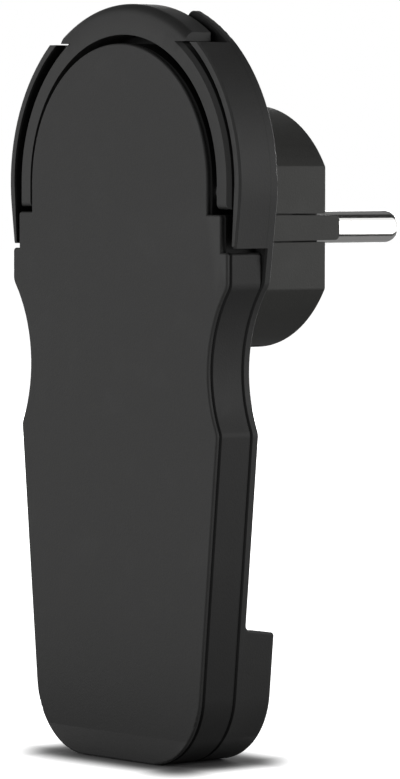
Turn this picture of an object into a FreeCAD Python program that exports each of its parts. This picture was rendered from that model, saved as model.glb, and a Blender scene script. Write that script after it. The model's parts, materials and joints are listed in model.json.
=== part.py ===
import FreeCAD, Part
import math
import os
import re
import Sketcher

from FreeCAD import Vector

# A flat earthed plug with a pull bail round its head.
# Every piece is drawn with X to the right, Y from the cover's front face towards the pins and Z up
# from the pins' centre line. It is then set back so that the origin is the middle of the plug face.
SIZES = [
    ("cover_edge", 0.8, "edge of the front cover that shows"),
    ("cover_inner", 0.7, "inner step of the cover, inside the frame"),
    ("frame_depth", 5.8, "depth of the middle frame"),
    ("back_plate", 1.45, "thickness of the rear shell's plate"),
    ("nose_length", 18.85, "plug nose, from the rear plate to the plug face"),
    ("wall", 1.8, "side wall of the middle frame"),
    ("fit_gap", 0.1, "gap between pieces that are fitted once"),
    ("run_gap", 0.06, "gap between pieces that slide or turn"),
    ("slot_gap", 0.26, "gap beside the part of a slide that shows"),
    ("groove", 0.25, "chamfer on each side of a parting line"),
    ("edge_round", 0.3, "rounding of outer edges"),
    ("head_rise", 6.5, "centre of the head above the pins"),
    ("head_radius", 26.75, "outside of the head wall"),
    ("head_wall", 1.2, "thickness of the head wall"),
    ("wall_drop", 2.65, "lower ends of the head wall, below the pins"),
    ("wall_end", 0.8, "thickness of the head wall at its lower ends"),
    ("head_round", 0.35, "rounding of the head's rear edge"),
    ("recess_half", 7.7, "half width of the finger recess behind the crown"),
    ("recess_depth", 3.4, "depth of the finger recess, in from the head's outside"),
    ("brim_round", 1.4, "rounding of the finger recess's upper corners"),
    ("recess_round", 0.2, "rounding in the finger recess's lower corners"),
    ("horn_rise", "head_rise + tongue_radius", "upper ends of the head wall, above the pins"),
    ("bail_inner_gap", 1.3, "gap between the tongue and the bail"),
    ("bail_outer_gap", 1.25, "gap between the bail and the head wall"),
    ("bail_width", 2.65, "width of the bail's ring"),
    ("bail_outer", "head_radius - head_wall - bail_outer_gap", "outside of the bail's ring"),
    ("bail_inner", "bail_outer - bail_width", "inside of the bail's ring"),
    ("tongue_radius", "bail_inner - bail_inner_gap", "tongue of the cover, inside the bail"),
    ("lug_inset", 0.9, "outer sides of the lugs, in from the bail's outside"),
    ("lug_half", "bail_outer - lug_inset", "half width over the lugs under the bail"),
    ("lug_rise", 2.1, "top of the lugs, above the pins"),
    ("shoulder_inset", 1.95, "sides of the shoulders, in from the head's outside"),
    ("shoulder_half", "head_radius - shoulder_inset", "half width of the handle's shoulders"),
    ("plate_flare", 0.3, "rear shell's shoulders, out from the frame's"),
    ("plate_half", "shoulder_half + plate_flare", "half width of the rear shell's shoulders"),
    ("shoulder_drop", 3.3, "top of the shoulders, below the pins"),
    ("waist_inset", 4.2, "waist, in from the shoulders"),
    ("waist_half", "shoulder_half - waist_inset", "half width of the waist"),
    ("waist_drop", 20.5, "narrowest place of the waist, below the pins"),
    ("waist_radius", 20.1, "radius of the waist's hollow sides"),
    ("hip_drop", 29.4, "lower end of the waist, below the pins"),
    ("tail_inset", 6.75, "lower end of the handle, in from the shoulders"),
    ("tail_half", "shoulder_half - tail_inset", "half width of the lower end, before its round corners"),
    ("tail_corner", 11.2, "radius of the two lower corners"),
    ("bottom_drop", 78.0, "lower end of the handle, below the pins"),
    ("soft_corner", 2.0, "rounding of the waist's upper and lower ends"),
    ("small_corner", 0.5, "rounding of the shoulders' and lugs' corners"),
    ("foot_depth", "duct_room + bush_flange + foot_wall - back_plate", "how far the foot stands out"),
    ("foot_height", 20.1, "top of the foot above the handle's lower end"),
    ("foot_drop", "bottom_drop - foot_height", "top of the foot at the rear plate, below the pins"),
    ("foot_slope", 0.75, "fall of the foot's top towards its rear edge"),
    ("foot_wall", 1.8, "rear wall of the foot"),
    ("foot_round", 1.0, "rounding of the foot's rear edges"),
    ("foot_root", 0.8, "rounding in the corner above the foot"),
    ("duct_wall", 0.9, "plastic between the cord space and the screw wells"),
    ("duct_half", "boss_tail_side - screw_head - fit_gap - duct_wall", "half width of the cord space"),
    ("duct_room", 0.5, "room behind the cord bush"),
    ("duct_lid", 3.0, "upper wall of the cord space"),
    ("finger_gap", 1.0, "gap between the bail and the rear plate"),
    ("bail_depth", "frame_depth - finger_gap", "depth of the bail"),
    ("bail_bevel", 0.55, "bevel on the bail's outer front edge"),
    ("crown_height", 1.85, "finger crown above the bail's ring"),
    ("crown_radius", "bail_outer + crown_height", "top of the finger crown"),
    ("bail_end_round", 0.8, "rounding of the front edges of the bail's ends"),
    ("crown_gap", 0.15, "ends of the finger crown above the ends of the head wall"),
    ("crown_foot", "horn_rise + crown_gap", "lower ends of the finger crown, above the pins"),
    ("crown_end", 1.3, "height of the finger crown's ends"),
    ("crown_side", "crown_foot + crown_end", "corners of the finger crown, above the pins"),
    ("crown_half", "sqrt(crown_radius ^ 2 - (crown_side - head_rise) ^ 2)", "half width of the finger crown"),
    ("crown_round", 1.6, "rounding of the crown's front edge"),
    ("pivot_rise", 5.3, "bail pivots above the pins"),
    ("pivot_radius", 1.5, "bail pivot pins"),
    ("pivot_seat", 2.0, "depth of the pivot pins in the bail's legs"),
    ("pivot_inset", 0.3, "end gap of each pivot pin in its bearing"),
    ("bearing_gap", 0.8, "gap between the pivot bearings and the nose's flat sides"),
    ("bearing_half", 2.9, "half height of the bearing blocks"),
    ("nose_radius", 18.0, "round of the plug nose"),
    ("chamber_wall", 0.8, "plastic between a pin chamber and a slide"),
    ("chamber_outer", "pin_half_spacing + pin_collar + fit_gap", "outer side of each pin chamber"),
    ("nose_half", "chamber_outer + chamber_wall + slide_thickness", "half width over the nose's flat sides"),
    ("nose_corner", 0.6, "rounding between the nose's round and its flat sides"),
    ("nose_round", 0.35, "rounding of the nose's rim"),
    ("face_wall", 5.65, "thickness of the nose behind the plug face"),
    ("pin_half_spacing", 9.5, "half the spacing of the two contact pins"),
    ("pin_radius", 2.4, "contact pins"),
    ("pin_step", 0.3, "how much thicker the pins are inside the nose"),
    ("pin_length", 19.0, "contact pins beyond the plug face"),
    ("pin_collar", 3.2, "radius of the collar that stops each pin"),
    ("pin_collar_depth", 1.4, "thickness of the collar"),
    ("pin_tail", 2.6, "radius of the terminal end of each pin"),
    ("pin_tail_length", 9.1, "length of the terminal end"),
    ("wire_bore", 1.3, "radius of the conductor hole in each terminal"),
    ("wire_place", 5.0, "conductor hole behind the pin's inner end"),
    ("terminal_radius", 1.2, "radius of the terminal screws"),
    ("terminal_length", 4.4, "length of the terminal screws"),
    ("terminal_proud", 0.8, "how far the terminal screws stand out"),
    ("keeper_depth", 2.0, "thickness of the block that keeps each pin in place"),
    ("chamber_inner", 5.0, "inner side of each pin chamber"),
    ("chamber_half_height", 6.6, "half height of the pin chambers"),
    ("slide_thickness", 2.0, "thickness of the ejector slides"),
    ("slide_flange", 1.0, "thickness of the wings that hold a slide in its slot"),
    ("slide_wing_half", 3.2, "half width over a slide's wings"),
    ("slide_root_half", 1.95, "half width of a slide at the rear plate"),
    ("slide_tip_half", 1.8, "half width of a slide at its tip"),
    ("slide_travel", 2.6, "how far the slides stand out of the plug face"),
    ("slide_start", 0.3, "how far a slide reaches into the frame"),
    ("slide_round", 0.8, "rounding of a slide's tip"),
    ("spring_radius", 1.25, "middle radius of the slide springs"),
    ("spring_wire", 0.17, "radius of the spring wire"),
    ("spring_turns", 4.5, "turns of each spring"),
    ("peg_radius", 0.85, "pegs that centre the springs"),
    ("peg_length", 1.0, "length of those pegs"),
    ("strap_half", 3.5, "half width of the earth strap"),
    ("strap_sheet", 0.8, "thickness of the earth strap"),
    ("strap_seat", 1.8, "depth of the strap's seat in the nose"),
    ("strap_lead", 2.55, "far ends of the strap's arms, below the plug face"),
    ("strap_room", 0.3, "room round the strap's hooks"),
    ("strap_bow", 0.9, "how far the arms bow outwards"),
    ("strap_rim", 0.7, "depth of the arms' ends below the nose's round"),
    ("strap_hook", 1.8, "length of the hooks at the arms' ends"),
    ("earth_inset", 8.0, "earth socket, in from the nose's round"),
    ("earth_rise", "nose_radius - earth_inset", "earth socket above the pins"),
    ("earth_bore", 2.45, "radius inside the earth socket"),
    ("earth_tube", 0.55, "thickness of the earth socket's tube"),
    ("earth_mouth", 0.3, "how much wider the hole in the plug face is than the socket"),
    ("earth_lead", 1.6, "depth of the earth socket's mouth below the plug face"),
    ("earth_slit_length", 9.0, "length of its slits"),
    ("earth_slit", 0.6, "slits that make the earth socket springy"),
    ("rivet_radius", 2.0, "rivet end of the earth socket"),
    ("rivet_head", 2.6, "radius of that rivet's head"),
    ("rivet_head_depth", 0.6, "thickness of that rivet's head"),
    ("earth_screw", 1.5, "shank of the earth terminal screw"),
    ("earth_screw_head", 2.7, "head of the earth terminal screw"),
    ("earth_screw_length", 4.0, "length of the earth terminal screw"),
    ("earth_screw_inset", 11.0, "earth terminal screw, in from the nose's round"),
    ("earth_screw_drop", "nose_radius - earth_screw_inset", "earth terminal screw, below the pins"),
    ("window_margin", 3.0, "opening in the rear plate, in from the nose's screws"),
    ("window_half_height", "nose_screw_rise - window_margin", "half height of the opening in the rear plate"),
    ("window_notch_half", 4.6, "half width of the opening's upper and lower notches"),
    ("window_notch_rise", "nose_radius - 3", "reach of those notches above and below the pins"),
    ("nose_screw_side", 8.5, "screws that hold the nose, sideways"),
    ("nose_screw_inset", 2.9, "screws that hold the nose, in from its round"),
    ("nose_screw_reach", "nose_radius - nose_screw_inset", "those screws from the nose's middle"),
    ("nose_screw_rise", "sqrt(nose_screw_reach ^ 2 - nose_screw_side ^ 2)", "the same, above and below"),
    ("screw_radius", 1.1, "shank of the plastic screws"),
    ("screw_head", 2.2, "head of the plastic screws"),
    ("screw_head_depth", 0.9, "thickness of the screw heads"),
    ("screw_slot", 0.5, "width of the screw slots"),
    ("slot_depth", 0.4, "depth of the screw slots"),
    ("screw_seat", 0.5, "plastic left under a housing screw's head"),
    ("nose_screw_length", 9.0, "length of the screws that hold the nose"),
    ("boss_radius", 2.7, "screw bosses on the cover"),
    ("boss_room", 0.6, "room between a boss and the frame's wall"),
    ("boss_top_rise", "horn_rise - wall - boss_radius - boss_room", "uppermost boss, above the pins"),
    ("boss_waist_side", "waist_half - wall - boss_radius - boss_room", "bosses at the waist, sideways"),
    ("boss_tail_inset", 6.4, "bosses in the foot, in from the handle's sides"),
    ("boss_tail_side", "tail_half - boss_tail_inset", "bosses in the foot, sideways"),
    ("boss_tail_height", 8.5, "bosses in the foot above the handle's lower end"),
    ("boss_tail_drop", "bottom_drop - boss_tail_height", "bosses in the foot, below the pins"),
    ("boss_floor", 0.7, "plastic left in front of a boss's hole"),
    ("boss_rest", 0.3, "room in front of a housing screw"),
    ("clamp_height", 14.5, "cord clamp above the handle's lower end"),
    ("clamp_drop", "bottom_drop - clamp_height", "cord clamp, below the pins"),
    ("pillar_radius", 1.9, "pillars of the cord clamp"),
    ("pillar_room", 0.2, "room beside those pillars"),
    ("pillar_side", "duct_half - pillar_radius - pillar_room", "pillars of the cord clamp, sideways"),
    ("clamp_half", "pillar_side + pillar_radius", "half length of the cord clamp"),
    ("clamp_half_height", 2.5, "half height of the cord clamp"),
    ("clamp_front", 3.0, "front of the cord clamp, from the cover's front"),
    ("clamp_thickness", 1.4, "thickness of the cord clamp"),
    ("clamp_ridge", 0.5, "ridge that bites on the cord"),
    ("clamp_screw_length", 7.0, "length of the cord clamp's screws"),
    ("cord_radius", 3.6, "bore of the cord bush"),
    ("bush_neck", 4.4, "neck of the cord bush, in the shell"),
    ("bush_room", 0.15, "room between the bush and the cover"),
    ("bush_flange", "frame_depth - cover_inner - bush_room", "flange of the cord bush, inside the shell"),
    ("bush_flange_length", 1.6, "length of that flange"),
    ("bush_recess", 0.2, "bush's lower end above the plug's lower end"),
    ("rib_side", 6.5, "ribs between the conductors, sideways"),
    ("rib_thickness", 1.2, "thickness of those ribs"),
    ("rib_height", 3.4, "height of those ribs"),
    ("rib_top_drop", 24.0, "upper end of those ribs, below the pins"),
    ("rib_bottom_drop", "foot_drop - 6", "lower end of those ribs, below the pins"),
]

# Depths from the cover's front face, and other places that follow from the sizes.
COVER_BACK = "cover_edge"
STEP_BACK = "(cover_edge + cover_inner)"
FRAME_BACK = "(cover_edge + frame_depth)"
PLATE_BACK = "(cover_edge + frame_depth + back_plate)"
PLUG_FACE = "(cover_edge + frame_depth + back_plate + nose_length)"
FOOT_BACK = f"({PLATE_BACK} + foot_depth)"
CHAMBER_FLOOR = f"({PLUG_FACE} - face_wall)"
STRAP_FLOOR = f"({PLATE_BACK} + strap_seat)"
BAIL_BACK = "(cover_edge + bail_depth)"
PIVOT_DEPTH = "(cover_edge + bail_depth / 2)"
SLIDE_INNER = "(nose_half - slide_thickness)"
SLIDE_FRONT = f"({FRAME_BACK} - slide_start)"
SLIDE_TIP = f"({PLUG_FACE} + slide_travel)"
SPRING_SIDE = f"({SLIDE_INNER} + slide_thickness / 2)"
STRAP_REACH = f"({PLUG_FACE} - strap_lead)"
ARM_RISE = "(nose_radius - strap_rim)"
SCREW_SEAT = f"({FRAME_BACK} + screw_seat)"
DUCT_BACK = f"({FOOT_BACK} - foot_wall)"
WAIST_CENTRE = "(waist_half + waist_radius)"
HEAD_INNER = "(head_radius - head_wall)"
COLLAR_FRONT = f"({CHAMBER_FLOOR} - pin_collar_depth)"
TAIL_FRONT = f"({COLLAR_FRONT} - pin_tail_length)"
NOSE_FLAT = "sqrt(nose_radius ^ 2 - nose_half ^ 2)"
PLATE_WAIST_TOP = f"(sqrt(waist_radius ^ 2 - ({WAIST_CENTRE} - plate_half) ^ 2) - waist_drop)"

# The head's round sides run on straight to the rear shell's shoulders. SIDE_X and SIDE_Z are the
# direction from the head's centre to the place where the right side leaves the round.
SIDE_FALL = f"({PLATE_WAIST_TOP} - head_rise)"
SIDE_REACH = f"(plate_half ^ 2 + {SIDE_FALL} ^ 2)"
SIDE_RUN = f"sqrt({SIDE_REACH} - head_radius ^ 2)"
SIDE_X = f"((head_radius * plate_half - {SIDE_RUN} * {SIDE_FALL}) / {SIDE_REACH})"
SIDE_Z = f"((head_radius * {SIDE_FALL} + {SIDE_RUN} * plate_half) / {SIDE_REACH})"
SIDE_TURN = (f"(head_radius * {SIDE_X})", f"(head_rise + head_radius * {SIDE_Z})")
BOSSES = [
    ("0", "boss_top_rise"),
    ("boss_waist_side", "-waist_drop"),
    ("-boss_waist_side", "-waist_drop"),
    ("boss_tail_side", "-boss_tail_drop"),
    ("-boss_tail_side", "-boss_tail_drop"),
]
RIGHT = 1
LEFT = -1

# A cut starts or ends this far outside the piece, so that no skin is left.
OVERRUN = "0.5"

doc = FreeCAD.newDocument("flat_plug")
sheet = doc.addObject("Spreadsheet::Sheet", "Sizes")
for row, (name, number, note) in enumerate(SIZES, start=1):
    sheet.set(f"A{row}", name)
    sheet.set(f"B{row}", f"={number}")
    sheet.setAlias(f"B{row}", name)
    sheet.set(f"C{row}", note)
doc.recompute()

ALIASES = {name for name, number, note in SIZES}
pieces = []


def spell(formula):
    """Write a formula of sizes with the sheet's name before each size."""
    return re.sub(r"[a-z_]+", lambda word: "Sizes." + word[0] if word[0] in ALIASES else word[0], formula)


def value(formula):
    """Work a formula of sizes out as a number of millimetres."""
    return float(sheet.evalExpression(spell(formula)))


def bind(item, prop, formula):
    """Tie a property to a formula of sizes."""
    item.setExpression(prop, spell(formula))


def new_piece(label, along=f"-{PLUG_FACE}", aside="0", up="0"):
    """Start a piece, with its own place in the plug."""
    body = doc.addObject("PartDesign::Body", label)
    body.Label = label
    bind(body, "Placement.Base.x", aside)
    bind(body, "Placement.Base.y", along)
    bind(body, "Placement.Base.z", up)
    pieces.append(body)
    return body


def new_sketch(body, plane, at):
    """Open a sketch across the piece. XZ looks along Y, YZ looks along X and XY looks along Z."""
    sketch = body.newObject("Sketcher::SketchObject", body.Label + "_outline")
    support = [item for item in body.Origin.OriginFeatures if item.Role == plane + "_Plane"][0]
    sketch.AttachmentSupport = [(support, "")]
    sketch.MapMode = "FlatFace"
    bind(sketch, "AttachmentOffset.Base.z", f"-({at})" if plane == "XZ" else at)
    return sketch


def hold(sketch, kind, *where, formula):
    """Add a size constraint that follows a formula."""
    index = sketch.addConstraint(Sketcher.Constraint(kind, *where, value(formula)))
    sketch.setExpression(f"Constraints[{index}]", spell(formula))


def arc_between(start, end, radius, turn):
    """Arc of less than half a circle; turn is 1 with the centre on the left of the way, -1 on the right."""
    chord = end - start
    middle = (start + end) * 0.5
    left = Vector(-chord.y, chord.x, 0).normalize()
    rise = math.sqrt(max(radius**2 - (chord.Length / 2) ** 2, 0))
    centre = middle + left * rise * turn
    first, last = (start, end) if turn > 0 else (end, start)
    angles = [math.atan2(point.y - centre.y, point.x - centre.x) for point in (first, last)]
    return Part.ArcOfCircle(Part.Circle(centre, Vector(0, 0, 1), radius), *angles)


def draw_loop(sketch, corners):
    """Draw a closed outline of (across, up) corners, with (radius, turn) added where an arc leaves one."""
    points = [Vector(value(corner[0]), value(corner[1]), 0) for corner in corners]
    first = sketch.GeometryCount
    count = len(corners)
    ends = []
    for index, corner in enumerate(corners):
        start = points[index]
        end = points[(index + 1) % count]
        if len(corner) > 2:
            radius, turn = corner[2]
            sketch.addGeometry(arc_between(start, end, value(radius), turn), False)
            ends.append((1, 2) if turn > 0 else (2, 1))
        else:
            sketch.addGeometry(Part.LineSegment(start, end), False)
            ends.append((1, 2))
    for index, corner in enumerate(corners):
        after = (index + 1) % count
        side = first + index
        sketch.addConstraint(
            Sketcher.Constraint("Coincident", side, ends[index][1], first + after, ends[after][0])
        )
        hold(sketch, "DistanceX", -1, 1, side, ends[index][0], formula=corner[0])
        hold(sketch, "DistanceY", -1, 1, side, ends[index][0], formula=corner[1])
        if len(corner) > 2:
            hold(sketch, "Radius", side, formula=corner[2][0])


def draw_circle(sketch, across, up, radius):
    """Draw a circle."""
    centre = Vector(value(across), value(up), 0)
    index = sketch.addGeometry(Part.Circle(centre, Vector(0, 0, 1), value(radius)), False)
    hold(sketch, "DistanceX", -1, 1, index, 3, formula=across)
    hold(sketch, "DistanceY", -1, 1, index, 3, formula=up)
    hold(sketch, "Radius", index, formula=radius)


def box_loop(left, right, low, high):
    """Corners of a rectangle."""
    return [(left, low), (right, low), (right, high), (left, high)]


def extrude(body, kind, plane, start, end, loops, circles):
    """Pad or pocket a sketch from one level to another along its axis."""
    sketch = new_sketch(body, plane, start)
    for corners in loops:
        draw_loop(sketch, corners)
    for circle in circles:
        draw_circle(sketch, *circle)
    feature = body.newObject("PartDesign::" + kind, body.Label + "_" + kind.lower())
    feature.Profile = sketch
    bind(feature, "Length", f"{end} - ({start})")
    feature.Reversed = (plane == "XZ") == (kind == "Pad")
    before = body.Shape.Volume if kind == "Pocket" else 0
    doc.recompute()
    change = body.Shape.Volume - before
    if (change > -1e-6) == (kind == "Pocket"):
        raise RuntimeError(f"{body.Label}: {feature.Name} changed the volume by {change:.4f}")
    return feature


def add(body, plane, start, end, loops=(), circles=()):
    """Add material between two levels."""
    return extrude(body, "Pad", plane, start, end, loops, circles)


def cut(body, plane, start, end, loops=(), circles=()):
    """Cut material away between two levels."""
    return extrude(body, "Pocket", plane, start, end, loops, circles)


def dress(body, kind, prop, size, choose):
    """Fillet or chamfer the edges that choose() picks."""
    base = body.Tip
    names = [f"Edge{n}" for n, edge in enumerate(base.Shape.Edges, start=1) if choose(edge)]
    if not names:
        raise RuntimeError(f"{body.Label}: no edge to dress")
    feature = body.newObject("PartDesign::" + kind, body.Label + "_" + kind.lower())
    feature.Base = (base, names)
    bind(feature, prop, size)
    doc.recompute()
    if "Invalid" in feature.State or not feature.Shape.isValid():
        raise RuntimeError(f"{body.Label}: {feature.Name} failed on {len(names)} edges")
    return feature


def soften(body, size, choose):
    """Round the edges that choose() picks."""
    return dress(body, "Fillet", "Radius", size, choose)


def bevel(body, size, choose):
    """Bevel the edges that choose() picks."""
    return dress(body, "Chamfer", "Size", size, choose)


def upright_at(corners):
    """Pick the edges along Y that stand at any of the given corners, on both sides."""
    spots = [(value(corner[0]), value(corner[1])) for corner in corners]

    def choose(edge):
        ends = [vertex.Point for vertex in edge.Vertexes]
        if len(ends) != 2 or abs(ends[0].x - ends[1].x) > 1e-4 or abs(ends[0].z - ends[1].z) > 1e-4:
            return False
        return any(abs(abs(ends[0].x) - x) < 1e-3 and abs(ends[0].z - z) < 1e-3 for x, z in spots)

    return choose


def rim_at(depth, keep=None):
    """Pick the edges that lie at one depth, all of them or those whose middle keep() accepts."""
    level = value(depth)

    def choose(edge):
        box = edge.BoundBox
        if abs(box.YMin - level) > 1e-4 or abs(box.YMax - level) > 1e-4:
            return False
        middle = edge.valueAt((edge.FirstParameter + edge.LastParameter) / 2)
        return keep is None or keep(middle.x, middle.z)

    return choose


def mirrored(half):
    """Close an outline that is drawn from its lower right corner up to its top on the middle line."""
    corners = list(half)
    last = len(half) - 1
    corners[last] = tuple(half[last][:2]) + tuple(half[last - 1][2:])
    for index in range(last - 1, -1, -1):
        left = f"-({half[index][0]})"
        arc = tuple(half[index - 1][2:]) if index > 0 else ()
        corners.append((left, half[index][1]) + arc)
    return corners


def handle_half(inset, shoulder="shoulder_half"):
    """Right side of the handle, from its round lower corner to its shoulder, set in by inset."""
    reach = f"(waist_radius + {inset})"
    top_half = f"({shoulder} - {inset})"
    waist_top = f"(-waist_drop + sqrt({reach} ^ 2 - ({WAIST_CENTRE} - {top_half}) ^ 2))"
    hip_half = f"({WAIST_CENTRE} - sqrt({reach} ^ 2 - (hip_drop - waist_drop) ^ 2))"
    tail = f"(tail_half - {inset})"
    bottom = f"(bottom_drop - {inset})"
    corner = f"(tail_corner - {inset})"
    slope = f"(({hip_half} - {tail}) / ({bottom} - hip_drop))"
    stretch = f"sqrt(1 + {slope} ^ 2)"
    tangent = f"({corner} * ({stretch} - {slope}))"
    return [
        (f"({tail} - {tangent})", f"-{bottom}", (corner, 1)),
        (f"({tail} + {tangent} * {slope} / {stretch})", f"({tangent} / {stretch} - {bottom})"),
        (hip_half, "-hip_drop", (reach, -1)),
        (top_half, waist_top),
    ]


def island_half(inset):
    """Right side of the whole cover: the handle, the shoulder, the lug and the tongue."""
    tongue = f"(tongue_radius - {inset})"
    lug = f"(lug_half - {inset})"
    shoulder = f"-(shoulder_drop + {inset})"
    lug_top = f"(lug_rise - {inset})"
    return handle_half(inset) + [
        (f"(shoulder_half - {inset})", shoulder),
        (lug, shoulder),
        (lug, lug_top),
        (tongue, lug_top),
        (tongue, "head_rise", (tongue, 1)),
        ("0", f"(head_rise + {tongue})"),
    ]


def soften_outline(body, corners):
    """Round the waist's ends and the given small corners of a piece's outer outline."""
    soften(body, "soft_corner", upright_at(handle_half("0")[2:4]))
    soften(body, "small_corner", upright_at(corners))


def make_front_cover():
    """Cover with a tongue and lugs, a step that locates it in the frame, screw bosses and spring pegs."""
    body = new_piece("front_cover")
    add(body, "XZ", "0", COVER_BACK, [mirrored(island_half("0"))])
    soften_outline(body, [island_half("0")[4], island_half("0")[6]])
    soften(body, "edge_round", rim_at("0"))
    bevel(body, "groove", rim_at(COVER_BACK))
    add(body, "XZ", COVER_BACK, STEP_BACK, [mirrored(island_half("(wall + fit_gap)"))])
    add(body, "XZ", STEP_BACK, FRAME_BACK, circles=[(x, z, "boss_radius") for x, z in BOSSES])
    hole_front = f"({STEP_BACK} + boss_floor)"
    holes = [(x, z, "screw_radius") for x, z in BOSSES]
    cut(body, "XZ", hole_front, f"{FRAME_BACK} + {OVERRUN}", circles=holes)
    pegs = [(f"{side} * {SPRING_SIDE}", "0", "peg_radius") for side in (RIGHT, LEFT)]
    add(body, "XZ", STEP_BACK, f"{STEP_BACK} + peg_length", circles=pegs)
    ribs = [
        box_loop("rib_side", "(rib_side + rib_thickness)", "-rib_bottom_drop", "-rib_top_drop"),
        box_loop("-(rib_side + rib_thickness)", "-rib_side", "-rib_bottom_drop", "-rib_top_drop"),
    ]
    add(body, "XZ", STEP_BACK, f"{STEP_BACK} + rib_height", ribs)


def make_middle_frame():
    """Side walls of the handle and of the island under the tongue, with the bail's bearings."""
    body = new_piece("middle_frame")
    add(body, "XZ", COVER_BACK, FRAME_BACK, [mirrored(island_half("0"))])
    soften_outline(body, [island_half("0")[4], island_half("0")[6]])
    for depth in (COVER_BACK, FRAME_BACK):
        bevel(body, "groove", rim_at(depth))
    cut(body, "XZ", f"{COVER_BACK} - {OVERRUN}", f"{FRAME_BACK} + {OVERRUN}", [mirrored(island_half("wall"))])
    front = f"({STEP_BACK} + fit_gap)"
    low = "pivot_rise - bearing_half"
    high = "pivot_rise + bearing_half"
    near = "(nose_half + bearing_gap)"
    far = "(tongue_radius - wall / 2)"
    for start, end in ((near, far), (f"-{far}", f"-{near}")):
        add(body, "YZ", start, end, [box_loop(front, FRAME_BACK, low, high)])
    edge = f"(tongue_radius + {OVERRUN})"
    cut(body, "YZ", f"-{edge}", edge, circles=[(PIVOT_DEPTH, "pivot_rise", "pivot_radius + run_gap")])
    inlet = [("0", FRAME_BACK, "bush_neck + fit_gap")]
    cut(body, "XY", f"-(bottom_drop + {OVERRUN})", f"-(bottom_drop - wall - {OVERRUN})", circles=inlet)


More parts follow.
